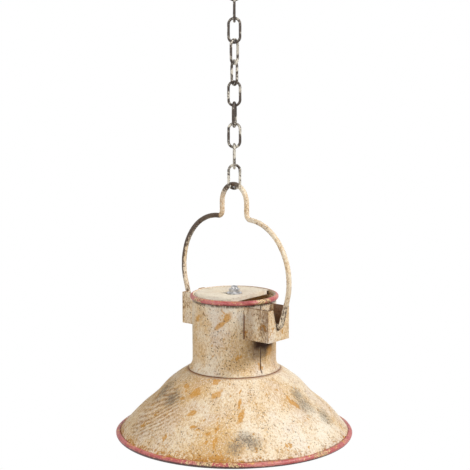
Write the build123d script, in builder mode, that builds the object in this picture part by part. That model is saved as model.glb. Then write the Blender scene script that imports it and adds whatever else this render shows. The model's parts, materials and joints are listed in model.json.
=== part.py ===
"""Hanging lantern: a flared sheet-metal shade on a bail and a chain, in millimetres.

Heights are first counted from the plane of the shade's rim, then everything is lowered so that
the ceiling is at z = 0. The bail's pivots lie along X.
"""

import os
from math import acos, asin, cos, degrees, radians, sin, sqrt

from build123d import *

os.makedirs("parts", exist_ok=True)

# Sheet metal
SHEET = 1.2
SHADE_RADIUS = 175.0
SHADE_ROLL = 4.0
NECK_RADIUS = 61.4
NECK_ROLL = 3.7
NECK_ROLL_Z = 203.0
FOOT_RADIUS = 67.4
FOOT_Z = 97.1
FLARE_Z = 110.0
COLLAR_TOP = 116.0
COLLAR_BEND = 3.9
SEAM_ANGLE = 4.0
SLIT_ANGLE = 200.0
FIT = 0.05
ROLL_SHEET = 1.0

# The shade's outside line from the neck's foot to the rim, in shares of its reach and of its height
SHADE_SHARES = [(0.0, 1.0), (0.066, 0.964), (0.193, 0.872), (0.329, 0.751), (0.494, 0.553), (0.728, 0.335),
                (1.0, 0.0)]

# Brackets
BRACKET_FACE = 95.0
BRACKET_WIDTH = 47.0
BRACKET_DEPTH = 50.0
BRACKET_TOP = 198.7
BRACKET_HEIGHT = 47.0
BRACKET_TURN = 8.6
NOTCH_TOP = 26.0
NOTCH_FOOT = 11.0

# Bail
ROD = 3.75
PIVOT_Z = 172.0
PIVOT_CLEARANCE = 0.05
PIVOT_END = 51.0
LEG_LEAN = 18.0
ARCH_RADIUS = 82.0
ARCH_OVERHANG = 20.4
ARCH_Z = 236.0
HUMP_RADIUS = 26.7
HUMP_Z = 339.9
SHOULDER_BEND = 8.0
LEG_BEND = 7.0
PIN = 1.0
PIN_X = 56.9
PIVOT_WASHER = 8.0

# Chain, links listed from the bottom by their turn out of the front plane
WIRE = 2.1
LINK_WIDTH = 20.8
LINK_PITCH = 29.8
GAP = 0.3
WELD = 4.5
FRONT_ANGLE = 48.6
LINK_TURNS = [13, 92, 5, 78, 0, 117, 55, -8, 90, 5]

# Ceiling hook
HOOK_WIRE = 3.0
HOOK_RADIUS = 11.0
HOOK_SWEEP = 9.0
HOOK_STEM = 14.0
SHANK_RADIUS = 2.9
SHANK_LENGTH = 32.0
FLANGE_RADIUS = 9.0
FLANGE = 2.0

# Top plate and lampholder
PLATE_TOP = 206.4
PLATE_RADIUS = 57.9
PLATE_CHORD = 22.0
PLATE_TURN = 10.0
HEM = 6.0
NIPPLE = 5.0
NIPPLE_BORE = 3.5
NIPPLE_TOP = 217.4
NIPPLE_FOOT = 182.8
NUT_FLATS = 14.0
NUT_HEIGHT = 6.0
WASHER_RADIUS = 11.0
WASHER = 1.6
HOLDER_RADIUS = 22.0
HOLDER_WALL = 2.5
CAP_NECK = 8.0
CAP_NECK_LENGTH = 5.0
CAP_SLOPE = 12.0
CAP_ROOF = 15.0
CAP_SHOULDER = 22.0
GRIP_STEP = 2.0
GRIP_LENGTH = 12.0
HOLDER_JOINT = 160.0
HOLDER_FOOT = 117.0
SOCKET_RADIUS = 13.4
SOCKET_LENGTH = 25.0
SHELL_SHEET = 0.95
SHELL_INSET = 3.0
CONTACT = 5.0
CONTACT_DROP = 3.2

# Derived places
SHADE_TOP = (FOOT_RADIUS - SHEET, FOOT_Z - 2 * FIT)
SHADE_EDGE = (SHADE_RADIUS - 1.5 * SHADE_ROLL, 0.75 * SHADE_ROLL)
SHADE_REACH = SHADE_EDGE[0] - SHADE_TOP[0]
SHADE_RISE = SHADE_TOP[1] - SHADE_EDGE[1]
SHADE_LINE = [(SHADE_TOP[0] + out * SHADE_REACH, SHADE_EDGE[1] + up * SHADE_RISE) for out, up in SHADE_SHARES]
ARCH_X = BRACKET_FACE + ARCH_OVERHANG - ARCH_RADIUS
LINK_BEND = LINK_WIDTH / 2 - WIRE
LINK_STRAIGHT = LINK_PITCH + GAP + 2 * WIRE - 2 * LINK_BEND
HUMP_TOP = HUMP_Z + HUMP_RADIUS
LOWEST_WIRE_Z = HUMP_TOP - ROD - WIRE - GAP
LINK_REACH = LINK_STRAIGHT / 2 + LINK_BEND
LINK_Z = [LOWEST_WIRE_Z + LINK_REACH + i * LINK_PITCH for i in range(len(LINK_TURNS))]
HOOK_FOOT_Z = LINK_Z[-1] + LINK_REACH - WIRE - HOOK_WIRE - GAP
HOOK_Z = HOOK_FOOT_Z + HOOK_RADIUS
HOOK_LEAN = acos(HOOK_SWEEP / (HOOK_SWEEP + HOOK_RADIUS))
STEM_Z = HOOK_Z + (HOOK_RADIUS + HOOK_SWEEP) * sin(HOOK_LEAN)
CEILING_Z = STEM_Z + HOOK_STEM
LINK_ANGLES = [FRONT_ANGLE + turn for turn in LINK_TURNS]
HOOK_ANGLE = LINK_ANGLES[-1] + 90


def save(part, name):
    """Lower the solid to the ceiling's frame, name it and write it."""
    placed = part.moved(Location((0, 0, -CEILING_Z)))
    placed.label = name
    export_step(placed, f"parts/{name}.step")


def disc(name, radius, bore, low, high):
    """A plain ring about the lantern's axis."""
    with BuildPart() as ring:
        with BuildSketch(Plane.XY.offset(low)):
            Circle(radius)
            if bore:
                Circle(bore, mode=Mode.SUBTRACT)
        extrude(amount=high - low)
    save(ring.part, name)


def hex_nut(name, low):
    with BuildPart() as nut:
        with BuildSketch(Plane.XY.offset(low)):
            RegularPolygon(NUT_FLATS / 2, 6, major_radius=False)
            Circle(NIPPLE, mode=Mode.SUBTRACT)
        extrude(amount=NUT_HEIGHT)
        with BuildSketch(Plane.XZ):
            with BuildLine():
                Polyline((NUT_FLATS / 2, low + NUT_HEIGHT), (NUT_FLATS, low + NUT_HEIGHT),
                         (NUT_FLATS, low + NUT_HEIGHT / 3), close=True)
            make_face()
        revolve(axis=Axis.Z, mode=Mode.SUBTRACT)
    save(nut.part, name)


def rolled_rim(name, centre, height, roll):
    """An edge rolled round a wire, open along a slit, with the wire as its own piece."""
    with BuildPart() as rim:
        with BuildSketch(Plane.XZ):
            with Locations((centre, height)):
                Circle(roll)
                Circle(roll - ROLL_SHEET, mode=Mode.SUBTRACT)
                with Locations(Location((0, 0), SLIT_ANGLE)):
                    with Locations((roll, 0)):
                        Rectangle(2 * roll, ROLL_SHEET, mode=Mode.SUBTRACT)
        revolve(axis=Axis.Z)
    save(rim.part, name)
    with BuildPart() as wire:
        with Locations((0, 0, height)):
            Torus(centre, roll - ROLL_SHEET - FIT)
    save(wire.part, name + "_wire")


def shade():
    inside = [(x - 0.62 * SHEET, z - 0.79 * SHEET) for x, z in SHADE_LINE]
    collar = NECK_RADIUS - SHEET - FIT
    bend = FOOT_Z + COLLAR_BEND
    with BuildPart() as body:
        with BuildSketch(Plane.XZ):
            with BuildLine():
                Spline(*SHADE_LINE)
                Line(SHADE_LINE[-1], inside[-1])
                Spline(*inside)
                Polyline(inside[0], (collar - SHEET, bend - SHEET), (collar - SHEET, COLLAR_TOP),
                         (collar, COLLAR_TOP), (collar, bend), SHADE_LINE[0])
            make_face()
        revolve(axis=Axis.Z)
        Torus(SHADE_RADIUS - SHADE_ROLL, SHADE_ROLL + FIT, mode=Mode.SUBTRACT)
    save(body.part, "shade")
    rolled_rim("shade_rim", SHADE_RADIUS - SHADE_ROLL, 0, SHADE_ROLL)


def neck():
    inner = NECK_RADIUS - SHEET
    top = NECK_ROLL_Z - 1.0
    with BuildPart() as body:
        with BuildSketch(Plane.XZ):
            with BuildLine():
                Line((inner, top), (NECK_RADIUS, top))
                down = Line((NECK_RADIUS, top), (NECK_RADIUS, FLARE_Z))
                flare = TangentArc((NECK_RADIUS, FLARE_Z), (FOOT_RADIUS, FOOT_Z), tangent=down % 1)
                Line((FOOT_RADIUS, FOOT_Z), (FOOT_RADIUS - SHEET, FOOT_Z + 0.5))
                back = Line((inner, top), (inner, FLARE_Z))
                TangentArc((inner, FLARE_Z), (FOOT_RADIUS - SHEET, FOOT_Z + 0.5), tangent=back % 1)
            make_face()
        revolve(axis=Axis.Z)
        with Locations((0, 0, NECK_ROLL_Z)):
            Torus(NECK_RADIUS - 0.4, NECK_ROLL + FIT, mode=Mode.SUBTRACT)
        # lap seam: a shallow step line outside, the turned lap inside
        with BuildSketch(Plane.XY.offset(FLARE_Z + 9)):
            with Locations(Location((0, 0), -SEAM_ANGLE)):
                with Locations((inner - 0.2, 5.5)):
                    Rectangle(1.6, 10)
        extrude(amount=38)
        with BuildSketch(Plane.XY.offset(FLARE_Z)):
            with Locations(Location((0, 0), -SEAM_ANGLE)):
                with Locations((NECK_RADIUS, 0)):
                    Rectangle(1.0, 0.8)
        extrude(amount=NECK_ROLL_Z - NECK_ROLL - FLARE_Z - 1, mode=Mode.SUBTRACT)
        with Locations(Location((0, 0, PIVOT_Z), (0, 90, 0))):
            Cylinder(ROD + PIVOT_CLEARANCE, 2 * NECK_RADIUS + 10, mode=Mode.SUBTRACT)
    save(body.part, "neck")
    rolled_rim("neck_rim", NECK_RADIUS - 0.4, NECK_ROLL_Z, NECK_ROLL)


def bracket(name, turn):
    """A folded box against the neck with a notch in its outer face."""
    low = BRACKET_TOP - BRACKET_HEIGHT
    with BuildPart() as box:
        seat = Plane((BRACKET_FACE, 0, low)).rotated((0, 0, BRACKET_TURN))
        with BuildSketch(seat):
            with Locations((-BRACKET_DEPTH / 2, 0)):
                Rectangle(BRACKET_DEPTH, BRACKET_WIDTH)
            with Locations((-BRACKET_DEPTH / 2 - SHEET, 0)):
                Rectangle(BRACKET_DEPTH, BRACKET_WIDTH - 2 * SHEET, mode=Mode.SUBTRACT)
        extrude(amount=BRACKET_HEIGHT)
        fillet(box.edges().filter_by(Axis.Z).group_by(SortBy.DISTANCE)[-1], 0.9 * SHEET)
        notch = Plane(origin=(BRACKET_FACE, 0, PIVOT_Z), x_dir=(0, 1, 0), z_dir=(1, 0, 0))
        with BuildSketch(notch):
            Circle(NOTCH_FOOT / 2)
            with BuildLine():
                Polyline((-NOTCH_FOOT / 2, 0), (NOTCH_FOOT / 2, 0), (NOTCH_TOP / 2, BRACKET_TOP + 1 - PIVOT_Z),
                         (-NOTCH_TOP / 2, BRACKET_TOP + 1 - PIVOT_Z), close=True)
            make_face()
        extrude(amount=8, both=True, mode=Mode.SUBTRACT)
        with Locations((0, 0, low + BRACKET_HEIGHT / 2)):
            Cylinder(NECK_RADIUS + 0.05, 2 * BRACKET_HEIGHT, mode=Mode.SUBTRACT)
    save(box.part.rotate(Axis.Z, turn), name)


def bail():
    """The bar from pivot to pivot: pin, bend, leaning leg, arch, shoulder and hump, mirrored."""
    lean = radians(LEG_LEAN)
    arch_low = (ARCH_X + ARCH_RADIUS * cos(lean), ARCH_Z - ARCH_RADIUS * sin(lean))
    foot = arch_low[0] - (arch_low[1] - PIVOT_Z) * sin(lean) / cos(lean)
    side = HUMP_RADIUS + SHOULDER_BEND
    rise = sqrt((ARCH_RADIUS + SHOULDER_BEND) ** 2 - (side - ARCH_X) ** 2)
    top_angle = 90 - degrees(asin((side - ARCH_X) / (ARCH_RADIUS + SHOULDER_BEND)))
    with BuildPart() as rod:
        with BuildLine(Plane.XZ) as path:
            FilletPolyline((PIVOT_END, PIVOT_Z), (foot, PIVOT_Z), arch_low, radius=LEG_BEND)
            CenterArc((ARCH_X, ARCH_Z), ARCH_RADIUS, -LEG_LEAN, LEG_LEAN + top_angle)
            CenterArc((side, ARCH_Z + rise), SHOULDER_BEND, 180, top_angle)
            Line((HUMP_RADIUS, ARCH_Z + rise), (HUMP_RADIUS, HUMP_Z))
            CenterArc((0, HUMP_Z), HUMP_RADIUS, 0, 90)
            mirror(about=Plane.YZ)
        with BuildSketch(Plane(origin=(PIVOT_END, 0, PIVOT_Z), z_dir=(1, 0, 0))):
            Circle(ROD)
        sweep(path=path.wires()[0])
        with Locations((PIN_X, 0, PIVOT_Z), (-PIN_X, 0, PIVOT_Z)):
            Cylinder(PIN + 0.05, 4 * ROD, mode=Mode.SUBTRACT)
    save(rod.part, "bail")

    for name, turn in (("right", 0), ("left", 180)):
        with BuildPart() as washer:
            with BuildSketch(Plane(origin=(PIN_X + PIN + 0.05, 0, PIVOT_Z), z_dir=(1, 0, 0))):
                Circle(PIVOT_WASHER)
                Circle(ROD + 0.05, mode=Mode.SUBTRACT)
            extrude(amount=SHEET)
        save(washer.part.rotate(Axis.Z, turn), "bail_washer_" + name)
        with BuildPart() as pin:
            with Locations((PIN_X, 0, PIVOT_Z)):
                Cylinder(PIN, 2 * ROD + 5)
            with Locations(Location((PIN_X, 0, PIVOT_Z + ROD + 4.2), (0, 90, 0))):
                Torus(2.2, PIN)
        save(pin.part.rotate(Axis.Z, turn), "split_pin_" + name)


def chain():
    half = LINK_STRAIGHT / 2
    with BuildPart() as link:
        with BuildLine(Plane.XZ) as path:
            Line((LINK_BEND, 0), (LINK_BEND, half))
            CenterArc((0, half), LINK_BEND, 0, 180)
            Line((-LINK_BEND, half), (-LINK_BEND, -half))
            CenterArc((0, -half), LINK_BEND, 180, 180)
            Line((LINK_BEND, -half), (LINK_BEND, 0))
        with BuildSketch(Plane(origin=(LINK_BEND, 0, 0), z_dir=(0, 0, 1))):
            Circle(WIRE)
        sweep(path=path.wires()[0])
        # the weld, a low swelling on one side of the link
        with BuildSketch(Plane.XZ):
            with BuildLine():
                ThreePointArc((LINK_BEND, -WELD), (LINK_BEND + WIRE + 0.45, 0), (LINK_BEND, WELD))
                Line((LINK_BEND, WELD), (LINK_BEND, -WELD))
            make_face()
        revolve(axis=Axis((LINK_BEND, 0, 0), (0, 0, 1)))
    count = len(LINK_TURNS)
    for i, (height, angle) in enumerate(zip(LINK_Z, LINK_ANGLES)):
        placed = link.part.rotate(Axis.Z, angle).moved(Location((0, 0, height)))
        save(placed, f"chain_link_{count - i:02d}")


def ceiling_hook():
    lean = degrees(HOOK_LEAN)
    with BuildPart() as hook:
        with BuildLine(Plane.XZ) as path:
            Line((0, CEILING_Z - FLANGE / 2), (0, STEM_Z))
            CenterArc((-HOOK_SWEEP, STEM_Z), HOOK_SWEEP, 0, -lean)
            CenterArc((0, HOOK_Z), HOOK_RADIUS, 180 - lean, 205 + lean)
        with BuildSketch(Plane.XY.offset(CEILING_Z - FLANGE / 2)):
            Circle(HOOK_WIRE)
        sweep(path=path.wires()[0])
        with BuildSketch(Plane.XZ):
            with BuildLine():
                Polyline((0, CEILING_Z - FLANGE), (FLANGE_RADIUS, CEILING_Z - FLANGE), (FLANGE_RADIUS, CEILING_Z),
                         (SHANK_RADIUS, CEILING_Z), (SHANK_RADIUS, CEILING_Z + SHANK_LENGTH),
                         (0.4, CEILING_Z + SHANK_LENGTH + 6), (0, CEILING_Z + SHANK_LENGTH + 6), close=True)
            make_face()
        revolve(axis=Axis.Z)
    save(hook.part.rotate(Axis.Z, HOOK_ANGLE), "ceiling_hook")


def top_plate():
    with BuildPart() as plate:
        with BuildSketch(Plane.XY.offset(PLATE_TOP - SHEET)):
            Circle(PLATE_RADIUS)
            with Locations((PLATE_CHORD + PLATE_RADIUS, 0)):
                Rectangle(2 * PLATE_RADIUS, 2 * PLATE_RADIUS, mode=Mode.SUBTRACT)
            Circle(NIPPLE + 0.2, mode=Mode.SUBTRACT)
        extrude(amount=SHEET)
        reach = sqrt(PLATE_RADIUS**2 - PLATE_CHORD**2) - 4
        with BuildSketch(Plane.XY.offset(PLATE_TOP - HEM)):
            with Locations((PLATE_CHORD - SHEET / 2, 0)):
                Rectangle(SHEET, 2 * reach)
        extrude(amount=HEM)
    save(plate.part.rotate(Axis.Z, PLATE_TURN), "top_plate")


def lampholder():
    disc("top_washer", WASHER_RADIUS, NIPPLE + 0.2, PLATE_TOP, PLATE_TOP + WASHER)
    hex_nut("top_nut", PLATE_TOP + WASHER)
    under = PLATE_TOP - SHEET - WASHER
    disc("lower_washer", WASHER_RADIUS, NIPPLE + 0.2, under, under + WASHER)
    hex_nut("lower_nut", under - NUT_HEIGHT)
    disc("nipple", NIPPLE, NIPPLE_BORE, NIPPLE_FOOT, NIPPLE_TOP)

    shoulder = under - NUT_HEIGHT
    bore = HOLDER_RADIUS - HOLDER_WALL
    with BuildPart() as cap:
        with BuildSketch(Plane.XZ):
            with BuildLine():
                Polyline((NIPPLE, shoulder), (CAP_NECK, shoulder), (CAP_NECK, shoulder - CAP_NECK_LENGTH),
                         (2 * CAP_NECK, shoulder - CAP_SLOPE), (HOLDER_RADIUS, shoulder - CAP_SHOULDER),
                         (HOLDER_RADIUS, HOLDER_JOINT), (bore, HOLDER_JOINT), (bore, shoulder - CAP_SHOULDER),
                         (2 * CAP_NECK - HOLDER_WALL, shoulder - CAP_ROOF), (NIPPLE, shoulder - CAP_ROOF),
                         close=True)
            make_face()
        revolve(axis=Axis.Z)
    save(cap.part, "lampholder_cap")

    shell_top = HOLDER_FOOT + SHELL_INSET + SOCKET_LENGTH
    seat = shell_top + 1.1 * CONTACT_DROP
    grip, shell = HOLDER_RADIUS - GRIP_STEP, SOCKET_RADIUS + SHELL_SHEET
    grip_top = HOLDER_JOINT - GRIP_LENGTH
    with BuildPart() as body:
        with BuildSketch(Plane.XZ):
            with BuildLine():
                Polyline((bore, HOLDER_JOINT), (HOLDER_RADIUS, HOLDER_JOINT), (HOLDER_RADIUS, grip_top),
                         (grip, grip_top - GRIP_STEP), (grip, HOLDER_FOOT), (shell + FIT, HOLDER_FOOT),
                         (shell + FIT, seat), (bore, seat), close=True)
            make_face()
        revolve(axis=Axis.Z)
    save(body.part, "lampholder_body")
    disc("lampholder_insert", bore - FIT, 0, seat, HOLDER_JOINT + GRIP_STEP)
    disc("screw_shell", shell, SOCKET_RADIUS, shell_top - SOCKET_LENGTH, shell_top)
    with BuildPart() as contact:
        with BuildSketch(Plane.XZ):
            with BuildLine():
                Polyline((-CONTACT, seat), (-CONTACT, seat - 0.25 * CONTACT_DROP), (0, seat - 0.75 * CONTACT_DROP),
                         (CONTACT, seat - CONTACT_DROP), (CONTACT, seat - 0.75 * CONTACT_DROP),
                         (0, seat - 0.5 * CONTACT_DROP), (-CONTACT / 2, seat), close=True)
            make_face()
        extrude(amount=CONTACT / 2, both=True)
    save(contact.part, "centre_contact")


shade()
neck()
bracket("bracket_right", 0)
bracket("bracket_left", 180)
bail()
chain()
ceiling_hook()
top_plate()
lampholder()
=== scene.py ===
"""Dresses the hanging lantern's CAD frame: worn ivory paint, red rolled rims, bail and chain."""

import json
from math import asin, atan2, cos, degrees, pi, radians, sin, sqrt, tan
from typing import NamedTuple

import bmesh
import bpy
from bpy.props import FloatProperty, FloatVectorProperty, PointerProperty
from mathutils import Matrix, Vector, noise


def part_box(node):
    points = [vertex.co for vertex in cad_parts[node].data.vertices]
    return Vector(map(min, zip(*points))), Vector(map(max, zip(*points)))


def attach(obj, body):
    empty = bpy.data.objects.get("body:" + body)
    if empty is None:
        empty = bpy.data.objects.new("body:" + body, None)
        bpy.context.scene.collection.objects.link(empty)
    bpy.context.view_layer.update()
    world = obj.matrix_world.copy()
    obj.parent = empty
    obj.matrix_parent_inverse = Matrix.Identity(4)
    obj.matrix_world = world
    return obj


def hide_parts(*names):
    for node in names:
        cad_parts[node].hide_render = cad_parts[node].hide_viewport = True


bl_info = {
    "name": "Hanging Lantern",
    "version": (1, 0, 0),
    "blender": (4, 5, 0),
    "location": "View3D > Sidebar > Lantern",
    "description": "Builds the visible pieces of a painted hanging lantern round its CAD frame",
    "category": "Add Mesh",
}

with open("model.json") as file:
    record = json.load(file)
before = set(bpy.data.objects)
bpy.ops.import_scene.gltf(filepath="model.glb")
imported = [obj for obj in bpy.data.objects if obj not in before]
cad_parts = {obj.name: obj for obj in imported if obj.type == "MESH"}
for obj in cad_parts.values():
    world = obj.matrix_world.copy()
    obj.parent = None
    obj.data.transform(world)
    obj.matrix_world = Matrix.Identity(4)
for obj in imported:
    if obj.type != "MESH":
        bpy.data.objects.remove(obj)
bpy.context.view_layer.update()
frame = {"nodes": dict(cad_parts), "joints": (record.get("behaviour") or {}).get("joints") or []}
MM = 0.001

# Places read from the frame, in metres
RIM_LOW, RIM_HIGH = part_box("shade_rim")
RIM_Z = (RIM_LOW.z + RIM_HIGH.z) / 2
RIM_ROLL = (RIM_HIGH.z - RIM_LOW.z) / 2
RIM_RADIUS = RIM_HIGH.x
NECK_RIM_LOW, NECK_RIM_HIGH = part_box("neck_rim")
NECK_RIM_Z = (NECK_RIM_LOW.z + NECK_RIM_HIGH.z) / 2
NECK_RIM_ROLL = (NECK_RIM_HIGH.z - NECK_RIM_LOW.z) / 2
NECK_RIM_RADIUS = NECK_RIM_HIGH.x
BRACKET_LOW, BRACKET_HIGH = (corner.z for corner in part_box("bracket_right"))
JOINTS = {joint["name"]: joint for joint in frame["joints"]}
LINKS = sorted(name for name in frame["nodes"] if name.startswith("chain_link_"))
PIVOT_Z = JOINTS["lantern_tilt"]["pos_m"][2]

# The camera, as fitted to the photograph: angles, metres, and a lens in millimetres
VIEW_AZIMUTH = radians(48.6)
VIEW_PITCH = radians(8.5)
VIEW_DISTANCE = 1.943
VIEW_ABOVE_RIM = 0.583
VIEW_ASIDE = 0.001
VIEW_LENS = 103.7
SENSOR_WIDTH = 36

# Steps round the axis for the larger and the smaller turned pieces, and the least angle of a sharp edge
MANY_STEPS = 360
FEW_STEPS = 240
SHARP_ANGLE = radians(35)

# The sheet metal's thickness
SHEET = 1.2 * MM

# The shade's outside line, in millimetres from the axis and above the rim's plane
SHADE_LINE = [(66.2, 97.0), (73.0, 93.6), (86.0, 85.0), (100.0, 73.6), (117.0, 55.0), (141.0, 34.5),
              (169.0, 3.0)]
LINE_STEPS = 10
# The way from the shade's outside to its inside: towards the axis, and down
SHADE_INWARD = (0.65, 0.76)
COLLAR_TOP = RIM_Z + 116 * MM
COLLAR_BEND = RIM_Z + 101 * MM
COLLAR_GAP = 0.05 * MM
# From which radius, and over what run, the beaten sheet strays and its edge is pulled in
BEATEN_FROM, BEATEN_RUN = 66 * MM, 90 * MM
EDGE_FROM, EDGE_RUN = 150 * MM, 20 * MM

# The neck, its flared foot and its lap seam
NECK_OUTSIDE = 61.4 * MM
NECK_INSIDE = NECK_OUTSIDE - SHEET
NECK_WAVE = 0.35 * MM
FOOT_RADIUS = 67.4 * MM
FOOT_Z = RIM_Z + 97.1 * MM
FOOT_STEP = 0.5 * MM
FLARE_Z = RIM_Z + 110 * MM
SEAM_ANGLE = radians(-4.0)
LAP_ANGLE = radians(14)
LAP_LIFT = 0.8 * MM

# The slit of a rolled rim: degrees round the roll, and half its width
SLIT_ANGLE = 200
SLIT_HALF = 8
WIRE_GAP = 0.1 * MM

# The boxes on the neck; the right one's direction is given as the camera sees it
BRACKET_TURN = radians(8.6)
BRACKET_LIE = BRACKET_TURN - VIEW_AZIMUTH
BRACKET_FACE = 95 * MM
BRACKET_HALF = 23.5 * MM

# The bail's centre line
BAIL_ARCH = (33.4 * MM, RIM_Z + 236 * MM)
ARCH_RADIUS = 82 * MM
HUMP_RADIUS = 26.7 * MM
HUMP_Z = RIM_Z + 339.9 * MM
SHOULDER_BEND = 8 * MM
LEG_LEAN = 18.0
LEG_BEND = 7 * MM
PIVOT_END = 51 * MM

# The chain: the bend of a link's ends, the links with more paint left, and how far up the paint thins out
LINK_BEND = 8.3 * MM
PALE_LINKS = (3, 4, 8)
PALE_RISE = 100 * MM

# The threads that show
SHANK_THREAD = {"Radius": 2.7 * MM, "Pitch": 2.2 * MM, "Length": 26 * MM}
SHANK_THREAD_Z = 5 * MM
NIPPLE_THREAD = {"Radius": 4.85 * MM, "Pitch": 1 * MM, "Length": 3 * MM}
NIPPLE_THREAD_DROP = 3.6 * MM

# The patch of combed paint: its middle as the camera sees it, its reach and its lines in radians a metre
COMB_PLACE = (-112 * MM, -62 * MM, RIM_Z + 46 * MM)
COMB_REACH = 75 * MM
COMB_LINES = 1900.0

# The stage, in metres; the world lights the lantern with a share of the white that it shows
FLOOR_REACH = 9.0
FLOOR_Z = -2.4
LAMP_AIM_Z = RIM_Z + 0.15
WORLD_SHARE = 0.34


class Lamp(NamedTuple):
    """A square lamp and its place from the point that it aims at, in metres and watts."""

    name: str
    right: float  # to the camera's right
    near: float  # towards the camera
    up: float
    size: float
    power: float


LAMPS = [Lamp("key", 2.1, 0.8, 1.9, 0.5, 72), Lamp("fill", -1.5, 2.0, 0.7, 1.4, 32)]


class Mark(NamedTuple):
    """A mark in the paint, placed to match the photograph in steps of five degrees and a twentieth."""

    turn: float  # degrees round the axis, to the right of the side that faces the camera
    down: float  # share of the height from the piece's top edge to its lower edge
    size: float  # millimetres
    lean: float = 0.0  # degrees to the right of upright


SHADE_SMUDGES = [Mark(-75, 0.3, 30), Mark(-55, 0.35, 26), Mark(60, 0.3, 22), Mark(60, 0.45, 30),
                 Mark(70, 0.65, 28), Mark(0, 0.8, 22), Mark(5, 0.7, 22), Mark(10, 0.75, 22)]
SHADE_STAINS = [Mark(-15, 0.9, 50), Mark(-5, 0.9, 50), Mark(-60, 0.45, 60), Mark(-10, 0.7, 35),
                Mark(-35, 0.15, 30)]
SHADE_DABS = [Mark(-35, 0.2, 13, 55), Mark(-45, 0.3, 6, 80), Mark(-15, 0.2, 11, 60), Mark(5, 0.3, 8, 15),
              Mark(5, 0.45, 11, 30), Mark(5, 0.15, 4, 20), Mark(-10, 0.6, 6, 30), Mark(-15, 0.65, 6, 55),
              Mark(-10, 0.75, 9, 30), Mark(-15, 0.75, 6, 65), Mark(-25, 0.6, 6, 65), Mark(-30, 0.45, 9, 70),
              Mark(-20, 0.5, 4, 50), Mark(-20, 0.05, 8, 65), Mark(-50, 0.15, 6, 70)]
SHADE_CHIPS = [Mark(-15, 1, 50), Mark(0, 1, 30), Mark(45, 1, 30)]
NECK_STAINS = [Mark(60, 0.8, 35), Mark(-15, 0.2, 15), Mark(35, 0.65, 35), Mark(-55, 0.3, 30),
               Mark(-55, 0.65, 40), Mark(10, 0.8, 35)]
NECK_DABS = [Mark(-20, 0.3, 13, 50), Mark(-10, 0.2, 13, 35), Mark(-60, 0.25, 8, 10), Mark(55, 0.65, 14)]
NECK_CHIPS = [Mark(40, 0, 25), Mark(-55, 0, 20)]


def srgb(red, green, blue):
    """A colour as seen on a screen, 0 to 255, turned into the shader's linear values."""

    def channel(value):
        value /= 255
        return value / 12.92 if value <= 0.04045 else ((value + 0.055) / 1.055) ** 2.4

    return (channel(red), channel(green), channel(blue), 1.0)


def colour_property(name, words, value):
    return FloatVectorProperty(name=name, description=words, subtype="COLOR", size=4, min=0, max=1,
                               default=value)


def length_property(name, words, value):
    return FloatProperty(name=name, description=words, unit="LENGTH", subtype="DISTANCE", min=0,
                         default=value)


class LanternColours(bpy.types.PropertyGroup):
    """The finishes a user would change."""

    ivory: colour_property("Ivory", "Main paint", srgb(240, 228, 206))
    straw: colour_property("Straw", "Yellowed paint", srgb(226, 192, 140))
    tan: colour_property("Tan", "Stippled undercoat that shows through", srgb(188, 142, 84))
    ochre: colour_property("Ochre", "Stains and brush strokes", srgb(202, 146, 68))
    rust: colour_property("Rust", "Speckles and chipped edges", srgb(92, 58, 34))
    soot: colour_property("Soot", "Grey smudges", srgb(112, 104, 92))
    ash: colour_property("Ash", "Cool, faded patches of the main paint", srgb(214, 198, 190))
    red: colour_property("Red", "Rolled rims", srgb(178, 80, 80))
    rose: colour_property("Rose", "Faded red of the rims", srgb(206, 138, 128))
    iron: colour_property("Iron", "Chain and hook", srgb(84, 72, 63))
    zinc: colour_property("Zinc", "Nuts and washers", srgb(222, 222, 224))


class LanternSizes(bpy.types.PropertyGroup):
    """The sizes a user would change."""

    sheet: length_property("Sheet", "Thickness of the sheet metal", SHEET)
    rod: length_property("Rod", "Radius of the bail's bar", 3.75 * MM)
    wire: length_property("Wire", "Radius of the chain's wire", 2.1 * MM)
    dents: length_property("Dents", "How far the hand-beaten shade strays from round", 1.6 * MM)


# How much faster than on a screen a colour changes in the shader's linear values
SCREEN_GAMMA = 2.2

# Colours that only one layer of a finish uses
COMBED = srgb(168, 118, 62)
CHALK = srgb(252, 246, 234)
INNER_BROWN = srgb(136, 108, 72)
SHADED_BARE_ROLL = srgb(48, 34, 30)
DARK_IRON = srgb(52, 44, 38)
PAINT_LEFT = srgb(216, 208, 192)


def colours():
    return bpy.context.scene.lantern_colours


def sizes():
    return bpy.context.scene.lantern_sizes


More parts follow.
